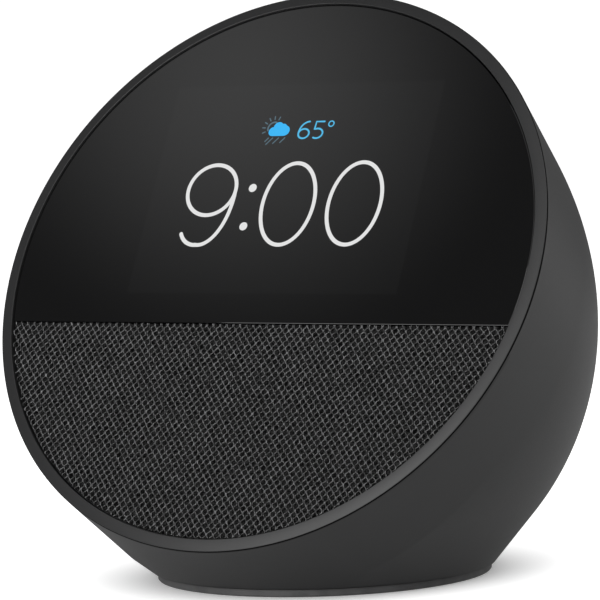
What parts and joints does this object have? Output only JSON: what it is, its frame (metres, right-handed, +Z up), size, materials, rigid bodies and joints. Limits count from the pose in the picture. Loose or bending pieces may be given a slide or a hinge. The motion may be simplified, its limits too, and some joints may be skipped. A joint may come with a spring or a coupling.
{
  "type": "smart display",
  "caption": "Round-faced smart display leaning back on a flat foot, with a glass screen over a cloth speaker grille in a domed matt shell.",
  "frame": {"origin": "centre of the bounding box, on the surface the display stands on", "axes": "+X to the right of the face and across the plane of symmetry, +Y towards the back, +Z up"},
  "size_m": [0.113, 0.1031, 0.1086],
  "materials": {
    "shell_plastic": "fine satin moulded texture",
    "trim_plastic": "satin moulded",
    "cover_glass": "black-backed polished cover glass",
    "adhesive": "matt foam tape",
    "lcd_cell": "dark polished",
    "backlight": "white reflector",
    "steel_sheet": "rolled",
    "flex_film": "amber film",
    "inner_plastic": "matt moulded",
    "screw_steel": "zinc plated",
    "knit_cloth": "open knit",
    "foam": "matt foam",
    "soft_rubber": "matt",
    "cone_paper": "pressed paper pulp",
    "copper_wire": "enamelled winding",
    "spider_cloth": "resin treated cloth",
    "magnet": "sintered",
    "lead_jacket": "satin",
    "circuit_board": "solder mask",
    "connector_plastic": "moulded",
    "thermal_pad": "soft pad",
    "cast_alloy": "die cast",
    "button_plastic": "satin moulded",
    "silicone": "matt silicone"
  },
  "bodies": {
    "housing": {"body_shell": "shell_plastic", "trim_ring": "trim_plastic", "front_glass": "cover_glass", "glass_adhesive": "adhesive", "lcd_panel": "lcd_cell", "lcd_backlight": "backlight", "lcd_bracket": "steel_sheet", "display_flex": "flex_film", "front_frame": "inner_plastic", "frame_screws": "screw_steel", "grille_plate": "inner_plastic", "grille_cloth": "knit_cloth", "speaker_gasket": "foam", "speaker_basket": "inner_plastic", "speaker_surround": "soft_rubber", "speaker_spider": "spider_cloth", "speaker_top_plate": "steel_sheet", "speaker_magnet": "magnet", "speaker_yoke": "steel_sheet", "speaker_enclosure": "inner_plastic", "speaker_lead": "lead_jacket", "main_board": "circuit_board", "board_screws": "screw_steel", "processor_shield": "steel_sheet", "board_connectors": "connector_plastic", "thermal_pad": "thermal_pad", "heat_sink": "cast_alloy", "wifi_antenna_left": "circuit_board", "wifi_antenna_right": "circuit_board", "button_board": "circuit_board", "button_switches": "steel_sheet", "button_board_screws": "screw_steel", "microphones": "steel_sheet", "microphone_boots": "soft_rubber", "inlet_pocket": "inner_plastic", "inlet_jack": "inner_plastic", "inlet_pin": "screw_steel", "power_lead": "lead_jacket", "base_plate": "inner_plastic", "base_screws": "screw_steel", "foot_ring": "silicone"},
    "volume_down_button": {"button_volume_down": "button_plastic"},
    "microphone_button": {"button_microphone": "button_plastic"},
    "volume_up_button": {"button_volume_up": "button_plastic"},
    "cone_assembly": {"speaker_cone": "cone_paper", "speaker_dust_cap": "cone_paper", "voice_coil": "copper_wire"}
  },
  "joints": [
    {"name": "volume_down_button_press", "type": "slide", "parent": "housing", "child": "volume_down_button", "axis": [0, -0.6428, -0.766], "range_m": [0, 0.0004], "stiffness_N_per_m": 4000},
    {"name": "microphone_button_press", "type": "slide", "parent": "housing", "child": "microphone_button", "axis": [0, -0.6428, -0.766], "range_m": [0, 0.0004], "stiffness_N_per_m": 4000},
    {"name": "volume_up_button_press", "type": "slide", "parent": "housing", "child": "volume_up_button", "axis": [0, -0.6428, -0.766], "range_m": [0, 0.0004], "stiffness_N_per_m": 4000},
    {"name": "cone_stroke", "type": "slide", "parent": "housing", "child": "cone_assembly", "axis": [0, -0.8721, 0.4894], "range_m": [-0.0008, 0.0008], "stiffness_N_per_m": 1500}
  ]
}
